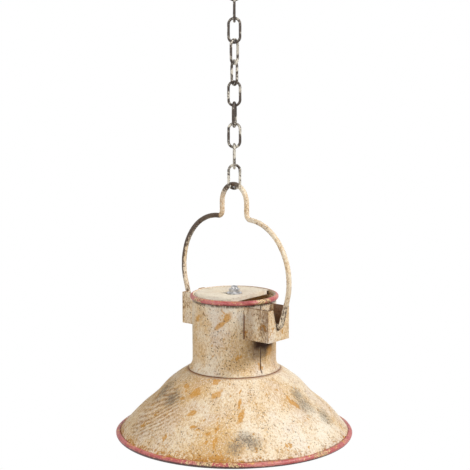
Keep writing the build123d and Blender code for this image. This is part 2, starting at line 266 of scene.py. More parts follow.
class Flow:
    """A socket of a node tree that can be added, multiplied and so on in plain expressions."""

    def __init__(self, tree, socket=None):
        self.tree, self.socket = tree, socket

    def node(self, kind, settings=None, inputs=None, out=0):
        """Adds a node: its settings first, then its sockets' values or links."""
        made = self.tree.nodes.new(kind)
        for key, value in (settings or {}).items():
            setattr(made, key, value)
        for key, value in (inputs or {}).items():
            if isinstance(value, Flow):
                self.tree.links.new(value.socket, made.inputs[key])
            else:
                made.inputs[key].default_value = value
        return Flow(self.tree, made.outputs[out] if made.outputs else None)

    def maths(self, operation, *values):
        return self.node("ShaderNodeMath", {"operation": operation}, dict(enumerate(values)))

    def greatest(self, first, *others):
        for other in others:
            first = self.maths("MAXIMUM", first, other)
        return first

    def __add__(self, other):
        return self.maths("ADD", self, other)

    def __radd__(self, other):
        return self.maths("ADD", other, self)

    def __sub__(self, other):
        return self.maths("SUBTRACT", self, other)

    def __rsub__(self, other):
        return self.maths("SUBTRACT", other, self)

    def __mul__(self, other):
        return self.maths("MULTIPLY", self, other)

    def __rmul__(self, other):
        return self.maths("MULTIPLY", other, self)

    def __truediv__(self, other):
        return self.maths("DIVIDE", self, other)

    def __pow__(self, other):
        return self.maths("POWER", self, other)

    def above(self, low, high):
        """0 below low, 1 above high and a smooth step between; the other way round where low > high."""
        return self.node("ShaderNodeMapRange", {"interpolation_type": "SMOOTHSTEP"},
                         {"Value": self, "From Min": low, "From Max": high})

    def over(self, under, cover):
        """Mixes from one colour to another by this value."""
        return self.node("ShaderNodeMix", {"data_type": "RGBA"}, {0: self, 6: under, 7: cover}, out=2)


class Finish(Flow):
    """A material being written, with the coordinates that the patterns use.

    place is the object's own coordinates. front turns them about the axis, so that x runs to the right and
    y to the back for the photograph's camera.
    """

    def __init__(self, name):
        self.material = bpy.data.materials.new(name)
        self.material.use_nodes = True
        super().__init__(self.material.node_tree)
        self.tree.nodes.clear()
        self.place = self.node("ShaderNodeTexCoord", out="Object")
        self.front = self.node("ShaderNodeVectorRotate", {"rotation_type": "Z_AXIS"},
                               {"Vector": self.place, "Angle": -VIEW_AZIMUTH})

    def axis(self, vector, name):
        return self.node("ShaderNodeSeparateXYZ", None, {"Vector": vector}, out=name)

    def fleck(self, scale, detail, rough, vector=None, shift=0.0):
        """Cloudy noise from 0 to 1."""
        values = {"Vector": vector or self.place, "W": shift, "Scale": scale, "Detail": detail,
                  "Roughness": rough}
        return self.node("ShaderNodeTexNoise", {"noise_dimensions": "4D"}, values)

    def near(self, place, radius, soft):
        """1 round a place given from the front, fading to 0 over the share soft of the radius."""
        gap = self.node("ShaderNodeVectorMath", {"operation": "DISTANCE"}, {0: self.front, 1: place},
                        out="Value")
        return gap.above(radius, radius * (1 - soft))

    def finish(self, colour, rough, height, depth, metal=0.0, shine=0.5):
        """Ends the material: height is the relief from 0 to 1, and depth is how deep it goes."""
        bump = self.node("ShaderNodeBump", None, {"Strength": 0.9, "Distance": depth, "Height": height})
        shader = self.node("ShaderNodeBsdfPrincipled", None,
                           {"Base Color": colour, "Roughness": rough, "Metallic": metal,
                            "Specular IOR Level": shine, "Normal": bump})
        self.node("ShaderNodeOutputMaterial", None, {"Surface": shader})
        return self.material


class Ivory(Finish):
    """Ivory paint being written, with the noises that its layers and its edge rules share.

    radial brushes it round the axis, wear says how worn it is, and soft blurs the stipple: 0 for crisp
    flecks, 1 for clouds.
    """

    def __init__(self, name, radial, wear, soft):
        super().__init__(name)
        self.radial, self.wear, self.soft = radial, wear, soft
        self.x, self.y, self.z = (self.axis(self.front, axis) for axis in "XYZ")
        self.radius = (self.x * self.x + self.y * self.y) ** 0.5
        if radial:
            turn = self.maths("ARCTAN2", self.x, self.y)
            self.brushed = self.node("ShaderNodeCombineXYZ", None,
                                     {0: turn * 0.12, 1: self.radius * 0.8, 2: self.z * 0.4})
        else:
            self.brushed = self.node("ShaderNodeMapping", None,
                                     {"Vector": self.place, "Scale": (1.0, 1.0, 0.55)})
        self.wash = self.fleck(48.0, 5.0, 0.6, self.brushed, 2.0)
        self.stipple = self.fleck(400.0, 3.0, 0.65, self.brushed, 5.0)
        self.grain = self.fleck(620.0, 2.0, 0.5, shift=8.0)
        # Both noises centred on 0, to make an edge wander or fray
        self.drift, self.fray = self.wash - 0.5, self.stipple - 0.5

    def ageing_and_left_shade(self, aged, stains):
        """How yellow the paint is: in clouds, more at the stains and, where radial, more on the left, partly
        as painted shade on the side away from the lamp.
        """
        age = (self.fleck(14.0, 3.0, 0.55) - 0.5) * 1.1 + self.drift * 0.7 + aged
        if self.radial:
            # Yellower and darker on the left: the paint's own tone, and partly painted shade on the side away
            # from the lamp.
            age = age + self.x.above(100 * MM, -70 * MM) * 0.16
        for place, size, _ in stains:
            age = age + self.near(place, size, 0.9) * self.wash * 0.42
        return age

    def ground(self, age):
        """Ivory that turns to straw, with ashen patches and the undercoat's stipple."""
        tint = colours()
        colour = (age + 0.5).above(0.20, 0.90).over(tint.ivory, tint.straw)
        faded = self.fleck(26.0, 3.0, 0.5, shift=21.0).above(0.46, 0.62) * (0.2 + 0.3 * self.soft)
        colour = faded.over(colour, tint.ash)
        mottle = (self.stipple + age * 0.22).above(0.50 - 0.07 * self.soft, 0.57 + 0.09 * self.soft)
        return (mottle * (0.6 - 0.08 * self.soft) * self.wear).over(colour, tint.tan)

    def combing(self, strength):
        """The ridges of the combed patch, and where the patch is."""
        slant = self.z * 0.87 - self.x * 0.5
        ridge = self.maths("SINE", slant * COMB_LINES + self.wash * 16.0 + self.stipple * 3.0) * 0.5 + 0.5
        patch = (self.near(COMB_PLACE, COMB_REACH, 0.9) * self.wash * 2).above(0.2, 0.6)
        return ridge, patch * strength

    def staining(self, age, dabs):
        """Ochre: brush strokes, the dabs and, where radial, a band along the rim."""
        stroke = self.fleck(84.0, 3.0, 0.55, self.brushed, 14.0) + self.fray * 0.3 + age * 0.13
        stain = stroke.above(0.64, 0.68) * 0.8 * self.wear
        if self.radial:
            band = self.radius.above(143 * MM, 174 * MM) * 0.30 + self.x.above(60 * MM, -10 * MM) * 0.09
            band = (band + self.wash * 0.55 + self.stipple * 0.85).above(1.00, 1.13)
            band = band * self.radius.above(145 * MM, 160 * MM)
            stain = self.greatest(stain, band * 0.85 * self.wear)
        if dabs:
            cover = (self.stipple + 0.12 * self.soft).above(0.2, 0.55) * (0.9 - 0.1 * self.soft)
            ragged = self.ragged(9 * MM)
            stain = self.greatest(stain, *[self.dab(ragged, *dab) * cover for dab in dabs])
        return stain

    def ragged(self, reach):
        """The front coordinates, shaken by up to half of reach each way so that outlines come out ragged."""
        shake = self.node("ShaderNodeTexNoise", None, {"Vector": self.place, "Scale": 90.0}, out="Color")
        centred = self.node("ShaderNodeVectorMath", {"operation": "SUBTRACT"}, {0: shake, 1: (0.5, 0.5, 0.5)})
        return self.node("ShaderNodeVectorMath", {"operation": "MULTIPLY_ADD"},
                         {0: centred, 1: (reach, reach, reach), 2: self.front})

    def dab(self, vector, place, size, lean):
        """1 within a leaning oval, fading out towards its outline."""
        within = self.node("ShaderNodeMapping", {"vector_type": "TEXTURE"},
                           {"Vector": vector, "Location": place, "Rotation": (0, radians(lean), 0),
                            "Scale": (size * 0.42, size * 2, size)})
        gap = self.node("ShaderNodeVectorMath", {"operation": "LENGTH"}, {0: within}, out="Value")
        return gap.above(1.0, 0.6 - 0.2 * self.soft)

    def specks(self):
        """Dark freckles, more of them where the wash is strong."""
        least = 0.65 - 0.03 * self.soft
        speck = (self.fleck(430.0, 2.0, 0.5, shift=11.0) + self.drift * 0.3).above(least, least + 0.05)
        return speck * (0.8 - 0.05 * self.soft) * self.wear

    def smudge(self, place, size):
        """Soot: a cloudy haze with dust in it."""
        near = self.near(place, size, 0.98)
        haze = near * (self.fleck(95.0, 5.0, 0.7, shift=3.0) + near * 0.15).above(0.36, 0.72)
        dust = (self.grain * 0.7 + self.stipple * 0.3 + near * 0.12).above(0.58, 0.66) * near.above(0.05, 0.6)
        return self.greatest(haze * 0.46, dust * 0.8)


def ivory_paint(name, *, radial=False, wear=1.0, aged=0.0, soft=0.3, shine=0.12, combed=0.0, stains=(),
                dabs=(), smudges=(), edge=None, bare_and_shade=None):
    """Stippled ivory paint, yellowed and stained, over dark metal.

    aged yellows all of it, and combed is the strength of the combed patch. edge is a rule that gives
    the share at each place that turns to the darker colour given, or to rust: worn paint and, on some pieces,
    painted shade.
    """
    look, tint = Ivory(name, radial, wear, soft), colours()
    age = look.ageing_and_left_shade(aged, stains)
    colour = look.ground(age)
    if combed:
        ridge, patch = look.combing(combed)
        groove = ridge * patch * (look.stipple + 0.1).above(0.45, 0.65)
        colour = groove.over(colour, COMBED)
        colour = ((1 - ridge) ** 2 * patch * 0.35).over(colour, tint.ivory)
    # Pale flecks: paler paint, and painted highlights on the stipple's relief.
    pale = look.grain.above(0.54, 0.62) * (0.55 - 0.3 * soft) * wear
    colour = pale.over(colour, CHALK)
    stain = look.staining(age, dabs)
    colour = stain.over(colour, tint.ochre)
    speck = look.specks()
    colour = speck.over(colour, tint.rust)
    for place, size, _ in smudges:
        colour = look.smudge(place, size).over(colour, tint.soot)
    if edge:
        # The edge rule's share turns to the darker colour: worn paint and rust, and on some pieces painted
        # shade.
        colour = edge(look).over(colour, bare_and_shade or tint.rust)
    relief = look.stipple * 0.5 + look.grain * 0.45 - speck * 0.7 - stain * 0.2
    if combed:
        relief = relief - groove * 0.5
    return look.finish(colour, 0.6 + stain * 0.15, relief, 2.2 * MM, shine=shine)


def red_paint(name, middle, roll, dark, chips, pale_within=0.0):
    """Faded red on a rolled rim, worn to ochre along its top and dark along its lower side: bare metal with
    painted shade on the underside, higher on the left.

    dark is the height, from the roll's middle, below which it turns dark. Nearer to the axis than
    pale_within, the roll has the ivory of the sheet, turning brown towards the right.
    """
    look, tint = Finish(name), colours()
    x, y, z = (look.axis(look.front, axis) for axis in "XYZ")
    cloud = look.fleck(30.0, 4.0, 0.65)
    chip = look.fleck(150.0, 5.0, 0.7, shift=4.0)
    fine = look.fleck(520.0, 3.0, 0.6, shift=9.0)
    colour = (cloud + (fine - 0.5) * 0.5).above(0.42, 0.72).over(tint.red, tint.rose)
    colour = ((chip + (fine - 0.5) * 0.3).above(0.58, 0.64) * 0.75).over(colour, tint.straw)
    top = (z - middle).above(roll * 0.3, roll * 0.95) * 0.10 + x.above(60 * MM, -40 * MM) * 0.03
    colour = ((chip * 0.8 + cloud * 0.2 + top).above(0.63, 0.70) * 0.8).over(colour, tint.ochre)
    colour = ((chip * 0.6 + fine * 0.4).above(0.44, 0.38) * 0.8).over(colour, tint.rust)
    if pale_within:
        reach = (x * x + y * y) ** 0.5 + (chip - 0.5) * 3 * MM
        cream = fine.above(0.42, 0.60).over(tint.ivory, tint.straw)
        # Brown towards the right on the roll's inner side.
        cream = (x.above(-5 * MM, 20 * MM) * 0.85).over(cream, INNER_BROWN)
        colour = reach.above(pale_within + 0.4 * MM, pale_within - 0.4 * MM).over(colour, cream)
    under_chips = (fine - 0.02).above(0.40, 0.54).over(tint.rust, tint.straw)
    for place, size, _ in chips:
        gone = (look.near(place, size, 0.9) * 0.16 + chip * 0.7 + fine * 0.3).above(0.60, 0.66)
        colour = gone.over(colour, under_chips)
    # Dark lower side: bare metal and painted shade on the roll's underside, reaching higher on the left, away
    # from the lamp.
    edge = z - middle + (chip - 0.5) * 4 * MM - x.above(120 * MM, -20 * MM) * roll * 0.35
    colour = (edge.above(dark + 0.9 * MM, dark - 0.6 * MM) * 0.9).over(colour, SHADED_BARE_ROLL)
    return look.finish(colour, 0.42, chip * 0.5 + fine * 0.4, 1.0 * MM)


def worn_iron(name, share, low=None):
    """Dark iron with remnants of the ivory paint: share says how much, and more is left just above low."""
    look, tint = Finish(name), colours()
    cloud = look.fleck(110.0, 5.0, 0.7)
    grain = look.fleck(480.0, 3.0, 0.6, shift=6.0)
    left = cloud + (grain - 0.5) * 0.35
    if low is not None:
        left = left + look.axis(look.place, "Z").above(low + PALE_RISE, low) * 0.10
    colour = grain.above(0.35, 0.65).over(tint.iron, DARK_IRON)
    colour = (left.above(1.02 - share, 1.12 - share) * 0.85).over(colour, PAINT_LEFT)
    return look.finish(colour, 0.5, grain * 0.6 + cloud * 0.4, 0.6 * MM, metal=0.35)


def plain(name, colour, rough, metal=0.0, scale=220.0, change=0.12):
    """An even finish, darker in flecks by about the share change, as seen on a screen."""
    look = Finish(name)
    grain = look.fleck(scale, 4.0, 0.6)
    dark = (*[channel * (1 - change * SCREEN_GAMMA) for channel in colour[:3]], 1.0)
    return look.finish(grain.above(0.3, 0.7).over(dark, colour), rough, grain, 0.08 * MM, metal)


def paint_node(node, material):
    """Gives a CAD node, which keeps its own shape, its finish."""
    thing = frame["nodes"][node]
    thing.data.materials.clear()
    thing.data.materials.append(material)


def keep_mesh(name, mesh, body, *nodes, slot=None):
    """Puts a finished mesh in the scene, on its body and in place of its CAD nodes."""
    piece = bpy.data.objects.new(name, mesh)
    bpy.context.scene.collection.objects.link(piece)
    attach(piece, body)
    if nodes:
        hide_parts(*nodes)


def lathe(name, outline, steps, finishes, shape=None, inside=()):
    """A closed outline of (radius, height) turned about the lantern's axis, each point passed through shape.

    The outline's segments named by inside take the second finish, the others the first.
    """
    mesh = bpy.data.meshes.new(name)
    points, faces = [], []
    count = len(outline)
    for step in range(steps):
        turn = 2 * pi * step / steps
        for radius, height in outline:
            r, z = shape(radius, height, turn) if shape else (radius, height)
            points.append((r * cos(turn), r * sin(turn), z))
        for i in range(count):
            j, after = (i + 1) % count, (step + 1) % steps
            faces.append((step * count + i, after * count + i, after * count + j, step * count + j))
    mesh.from_pydata(points, [], faces)
    grid = bmesh.new()
    grid.from_mesh(mesh)
    bmesh.ops.recalc_face_normals(grid, faces=grid.faces)
    grid.to_mesh(mesh)
    grid.free()
    for finish in finishes:
        mesh.materials.append(finish)
    mesh.polygons.foreach_set("material_index", [int(i % count in inside) for i in range(len(faces))])
    mesh.polygons.foreach_set("use_smooth", [True] * len(faces))
    mesh.set_sharp_from_angle(angle=SHARP_ANGLE)
    return mesh


def arc(centre, radius, start, sweep, steps):
    """Points round a centre in the plane of the outline, angles in degrees."""
    angles = [radians(start + sweep * i / steps) for i in range(steps + 1)]
    return [(centre[0] + radius * cos(a), centre[1] + radius * sin(a)) for a in angles]


def flowing(points, steps):
    """A smooth run through a few points (Catmull-Rom)."""
    padded = [points[0], *points, points[-1]]
    run = []
    for before, here, there, beyond in zip(padded, padded[1:], padded[2:], padded[3:]):
        for i in range(steps):
            t = i / steps
            run.append(tuple(0.5 * (2 * b + (c - a) * t + (2 * a - 5 * b + 4 * c - d) * t * t
                                    + (3 * b - a - 3 * c + d) * t**3)
                             for a, b, c, d in zip(before, here, there, beyond)))
    return [*run, points[-1]]


def node_tree(name, inputs):
    """An empty geometry tree with one geometry in and out, the named inputs and a material."""
    tree = bpy.data.node_groups.new(name, "GeometryNodeTree")
    tree.interface.new_socket("Geometry", in_out="INPUT", socket_type="NodeSocketGeometry")
    for label, kind, value in inputs:
        tree.interface.new_socket(label, in_out="INPUT", socket_type=kind).default_value = value
    tree.interface.new_socket("Material", in_out="INPUT", socket_type="NodeSocketMaterial")
    tree.interface.new_socket("Geometry", in_out="OUTPUT", socket_type="NodeSocketGeometry")
    given = tree.nodes.new("NodeGroupInput")
    return Flow(tree), {socket.name: Flow(tree, socket) for socket in given.outputs if socket.name}


def end_tree(flow, shape, given):
    """Closes a geometry tree as the export needs it: real geometry with its material."""
    real = flow.node("GeometryNodeRealizeInstances", None, {"Geometry": shape})
    done = flow.node("GeometryNodeSetMaterial", None, {"Geometry": real, "Material": given["Material"]})
    flow.node("NodeGroupOutput", None, {"Geometry": done})
    return flow.tree


def bar_tree():
    """A round bar that follows a curve, a little uneven as forged bar is."""
    flow, given = node_tree("bar_on_path", [("Radius", "NodeSocketFloat", 3 * MM),
                                            ("Sides", "NodeSocketInt", 20),
                                            ("Step", "NodeSocketFloat", 1.5 * MM),
                                            ("Uneven", "NodeSocketFloat", 0.0)])
    run = flow.node("GeometryNodeResampleCurve", {"mode": "LENGTH"},
                    {"Curve": given["Geometry"], "Length": given["Step"]})
    ring = flow.node("GeometryNodeCurvePrimitiveCircle", None,
                     {"Resolution": given["Sides"], "Radius": given["Radius"]})
    bar = flow.node("GeometryNodeCurveToMesh", None, {"Curve": run, "Profile Curve": ring, "Fill Caps": True})
    place = flow.node("GeometryNodeInputPosition")
    normal = flow.node("GeometryNodeInputNormal")
    lump = flow.node("ShaderNodeTexNoise", None, {"Vector": place, "Scale": 120.0, "Detail": 2.0})
    push = flow.node("ShaderNodeVectorMath", {"operation": "SCALE"},
                     {"Vector": normal, "Scale": (lump - 0.8) * given["Uneven"]})
    bar = flow.node("GeometryNodeSetPosition", None, {"Geometry": bar, "Offset": push})
    bar = flow.node("GeometryNodeSetShadeSmooth", None, {"Geometry": bar})
    return end_tree(flow, bar, given)


def thread_tree():
    """A screw thread: a small ridge wound along the Z axis."""
    flow, given = node_tree("screw_thread", [("Radius", "NodeSocketFloat", 3 * MM),
                                             ("Pitch", "NodeSocketFloat", 1 * MM),
                                             ("Length", "NodeSocketFloat", 20 * MM)])
    radius, pitch, length = (given[label] for label in ("Radius", "Pitch", "Length"))
    coil = flow.node("GeometryNodeCurveSpiral", None,
                     {"Resolution": 40, "Rotations": length / pitch, "Start Radius": radius,
                      "End Radius": radius, "Height": length})
    ridge = flow.node("GeometryNodeCurvePrimitiveCircle", None, {"Resolution": 3, "Radius": pitch * 0.45})
    wound = flow.node("GeometryNodeCurveToMesh", None,
                      {"Curve": coil, "Profile Curve": ridge, "Fill Caps": True})
    return end_tree(flow, wound, given)


def grown(name, tree, values, material, start=None):
    """Runs a geometry tree on a start object, with its inputs set, and returns the plain mesh."""
    holder = bpy.data.objects.new(name, start or bpy.data.meshes.new(name))
    bpy.context.scene.collection.objects.link(holder)
    grow = holder.modifiers.new("grow", "NODES")
    grow.node_group = tree
    ids = {item.name: item.identifier for item in tree.interface.items_tree if item.in_out == "INPUT"}
    for label, value in values.items():
        grow[ids[label]] = value
    grow[ids["Material"]] = material
    seen = bpy.context.evaluated_depsgraph_get()
    mesh = bpy.data.meshes.new_from_object(holder.evaluated_get(seen))
    mesh.name = name
    bpy.data.objects.remove(holder)
    return mesh


def path_curve(name, points, closed=False, swell=None):
    """A poly curve through points; swell gives each point's share of the radius."""
    curve = bpy.data.curves.new(name, "CURVE")
    curve.dimensions = "3D"
    run = curve.splines.new("POLY")
    run.points.add(len(points) - 1)
    for i, (spot, point) in enumerate(zip(run.points, points)):
        spot.co = (*point, 1.0)
        spot.radius = swell(i) if swell else 1.0
    run.use_cyclic_u = closed
    return curve


def around(mark, radius, height):
    """A mark's place in the front coordinates that the finishes use, with its size in metres and its lean."""
    turn = radians(mark.turn)
    return (radius * sin(turn), -radius * cos(turn), height), mark.size * MM, mark.lean


def on_shade(marks):
    """The places of marks on the shade's outside line."""
    top, foot = SHADE_LINE[0][1], SHADE_LINE[-1][1]
    run = flowing(SHADE_LINE, LINE_STEPS)
    places = []
    for mark in marks:
        height = top + (foot - top) * mark.down
        radius = min(run, key=lambda point: abs(point[1] - height))[0]
        places.append(around(mark, radius * MM, RIM_Z + height * MM))
    return places


def on_neck(marks):
    """The places of marks on the neck's outside."""
    return [around(mark, NECK_OUTSIDE, NECK_RIM_Z + (FOOT_Z - NECK_RIM_Z) * mark.down) for mark in marks]


def ramp(value, start, run):
    """0 up to start, rising to 1 over the run."""
    return max(0.0, min(1.0, (value - start) / run))


def beaten(radius, height, turn):
    """Bends a point of the shade or its rim as hand-worked sheet does, more towards the edge.

    The edge itself moves in and up by enough to stay inside the CAD's box.
    """
    dents = sizes().dents
    where = Vector((cos(turn) * 1.6, sin(turn) * 1.6, height * 14))
    sway = noise.noise(where) * 0.7 + noise.noise(where * 2.3 + Vector((7, 3, 1))) * 0.5
    amount = dents * sway * ramp(radius, BEATEN_FROM, BEATEN_RUN)
    edge = ramp(radius, EDGE_FROM, EDGE_RUN)
    inward, lift = edge * dents * 0.5, edge * dents * 0.4
    return radius + amount * 0.8 - inward, height + amount * (1 - edge * 0.5) + lift


def lapped(radius, height, turn):
    """Raises the neck's sheet on one side of its seam, as the overlap does."""
    past = (turn - SEAM_ANGLE) % (2 * pi)
    on_outside = radius > NECK_OUTSIDE - 0.4 * MM
    lift = LAP_LIFT * max(0.0, 1 - past / LAP_ANGLE) if on_outside else 0.0
    wave = noise.noise(Vector((cos(turn) * 2, sin(turn) * 2, height * 20))) * NECK_WAVE
    return radius + lift + wave, height


def rolled(centre, height, roll):
    """A sheet edge rolled nearly shut, its slit facing in and down."""
    start, sweep, steps = SLIT_ANGLE + SLIT_HALF, 360 - 2 * SLIT_HALF, 30
    outer = arc((centre, height), roll, start, sweep, steps)
    return [*outer, *reversed(arc((centre, height), roll - sizes().sheet, start, sweep, steps))]


def wire_in(centre, height, roll):
    """The round outline of the wire inside a rolled edge."""
    count = 24
    return arc((centre, height), roll - sizes().sheet - WIRE_GAP, 0, 360 - 360 / count, count - 1)


def shade_edge(look):
    """Rust along the rim; painted shade in the gap at the rim and, with dirt, in the crease under the neck's
    foot, with a warm halo of stain and painted shade round it.
    """
    frayed = look.radius + look.fray * 2 * MM
    near_rim = look.radius.above(158 * MM, 171 * MM)
    near_rim = near_rim * (look.wash * 0.5 + look.stipple * 0.5).above(0.44, 0.60)
    # Painted shade in the gap where the sheet meets its rolled rim.
    gap = frayed.above(166.5 * MM, 168 * MM)
    # Painted shade with dirt in the crease under the neck's foot, and a softer warm halo of stain and painted
    # shade round it.
    crease = (frayed + look.drift * 4 * MM).above(68.8 * MM, 67.5 * MM)
    warm = (look.radius + look.fray * 6 * MM).above(72.5 * MM, 67 * MM)
    return look.greatest(near_rim * 0.5, gap * 0.8, crease * 0.95, warm * 0.7)


class LANTERN_OT_shade(bpy.types.Operator):
    """Flared shade with its collar and red rolled rim"""

    bl_idname = "lantern.shade"
    bl_label = "Shade"

    def execute(self, context):
        sheet = sizes().sheet
        line = [(r * MM, z * MM + RIM_Z) for r, z in flowing(SHADE_LINE, LINE_STEPS)]
        inside = [(r - sheet * SHADE_INWARD[0], z - sheet * SHADE_INWARD[1]) for r, z in line]
        collar = NECK_INSIDE - COLLAR_GAP
        outline = [*line, *reversed(inside), (collar - sheet, COLLAR_BEND - sheet),
                   (collar - sheet, COLLAR_TOP), (collar, COLLAR_TOP), (collar, COLLAR_BEND)]
        paint = ivory_paint("ivory_on_shade", radial=True, aged=-0.02, combed=0.8,
                            stains=on_shade(SHADE_STAINS), dabs=on_shade(SHADE_DABS),
                            smudges=on_shade(SHADE_SMUDGES), edge=shade_edge, bare_and_shade=srgb(120, 62, 18))
        within = ivory_paint("ivory_in_shade", radial=True, wear=0.9, aged=0.12)
        skin = lathe("shade_skin", outline, MANY_STEPS, (paint, within), beaten,
                     range(len(line), len(outline) - 2))
        keep_mesh("shade_skin", skin, "lantern", "shade")
        chips = [around(mark, RIM_RADIUS, RIM_Z) for mark in SHADE_CHIPS]
        red = red_paint("red_on_shade_rim", RIM_Z, RIM_ROLL, -0.25 * RIM_ROLL, chips)
        roll = rolled(RIM_RADIUS - RIM_ROLL, RIM_Z, RIM_ROLL)
        keep_mesh("shade_roll", lathe("shade_roll", roll, MANY_STEPS, [red], beaten), "lantern", "shade_rim")
        dull = plain("rim_wire", srgb(96, 84, 74), 0.55, 0.6)
        wire = lathe("shade_roll_wire", wire_in(RIM_RADIUS - RIM_ROLL, RIM_Z, RIM_ROLL), FEW_STEPS, [dull],
                     beaten)
        keep_mesh("shade_roll_wire", wire, "lantern", "shade_rim_wire")
        return {"FINISHED"}


def neck_edge(look):
    """Dark in the seam; painted shade with dirt under the rolled rim and at the foot's edge; a painted shadow
    with dirt below the boxes.
    """
    seam = SEAM_ANGLE + pi / 2 - VIEW_AZIMUTH
    across = look.maths("ABSOLUTE", look.x * cos(seam) + look.y * sin(seam))
    joint = across.above(1.1 * MM, 0.5 * MM) * look.x.above(0, 10 * MM)
    joint = joint * look.z.above(FOOT_Z + 1 * MM, FOOT_Z + 4 * MM)
    # Painted shade with dirt under the rolled rim.
    under_rim = look.z.above(NECK_RIM_Z - 8 * MM, NECK_RIM_Z - 4.5 * MM)
    under_rim = under_rim * (look.stipple + 0.2).above(0.45, 0.75)
    # Painted shade with dirt at the foot's edge.
    foot = (look.z + look.fray * 4 * MM - look.drift * 3 * MM).above(FOOT_Z + 1.6 * MM, FOOT_Z - 0.4 * MM)
    # A painted shadow with dirt below the boxes: darkest close under them, fading out in a softer haze to the
    # left.
    aside = look.y * cos(BRACKET_LIE) - look.x * sin(BRACKET_LIE) + 4 * MM
    aside = look.maths("ABSOLUTE", aside + look.drift * 12 * MM)
    height = look.z + look.drift * 10 * MM
    core = aside.above(28 * MM, 14 * MM) * height.above(BRACKET_LOW - 26 * MM, BRACKET_LOW - 12 * MM)
    haze = aside.above(44 * MM, 14 * MM) * height.above(BRACKET_LOW - 40 * MM, BRACKET_LOW - 12 * MM)
    below = look.greatest(core, haze * 0.55) * look.z.above(BRACKET_HIGH - 8 * MM, BRACKET_HIGH - 18 * MM)
    return look.greatest(joint * 0.9, under_rim * 0.8, foot * 0.35, below)


def neck_inside(look):
    """Tan inside the neck, fading out close under the rim."""
    return (look.z - look.drift * 20 * MM).above(NECK_RIM_Z + 2 * MM, NECK_RIM_Z - 10 * MM) * 0.9


class LANTERN_OT_neck(bpy.types.Operator):
    """Rolled neck with its lap seam, flared foot and red rolled rim"""

    bl_idname = "lantern.neck"
    bl_label = "Neck"

    def execute(self, context):
        sheet = sizes().sheet
        rise, spread = FLARE_Z - FOOT_Z, FOOT_RADIUS - NECK_OUTSIDE
        bend = (rise**2 + spread**2) / (2 * spread)
        flare = arc((NECK_OUTSIDE + bend, FLARE_Z), bend, 180, degrees(asin(rise / bend)), 10)
        steps = 24
        wall = [(NECK_OUTSIDE, FLARE_Z + (NECK_RIM_Z - FLARE_Z) * i / steps) for i in range(steps, 0, -1)]
        outer = [*wall, *flare]
        inner = [(r - sheet, z + (FOOT_STEP if z < FLARE_Z else 0)) for r, z in reversed(outer)]
        paint = ivory_paint("ivory_on_neck", soft=0.75, stains=on_neck(NECK_STAINS), dabs=on_neck(NECK_DABS),
                            edge=neck_edge, bare_and_shade=srgb(66, 42, 28))
        within = ivory_paint("ivory_in_neck", wear=0.9, aged=0.12, edge=neck_inside, bare_and_shade=srgb(222, 176, 116))
        skin = lathe("neck_skin", [*outer, *inner], MANY_STEPS, (paint, within), lapped,
                     range(len(outer), len(outer) + len(inner) - 1))
        keep_mesh("neck_skin", skin, "lantern", "neck")
        chips = [around(mark, NECK_RIM_RADIUS, NECK_RIM_Z) for mark in NECK_CHIPS]
        red = red_paint("red_on_neck_rim", NECK_RIM_Z, NECK_RIM_ROLL, -0.95 * NECK_RIM_ROLL, chips,
                        NECK_RIM_RADIUS - NECK_RIM_ROLL * 1.1)
        roll = rolled(NECK_RIM_RADIUS - NECK_RIM_ROLL, NECK_RIM_Z, NECK_RIM_ROLL)
        keep_mesh("neck_roll", lathe("neck_roll", roll, FEW_STEPS, [red]), "lantern", "neck_rim")
        return {"FINISHED"}


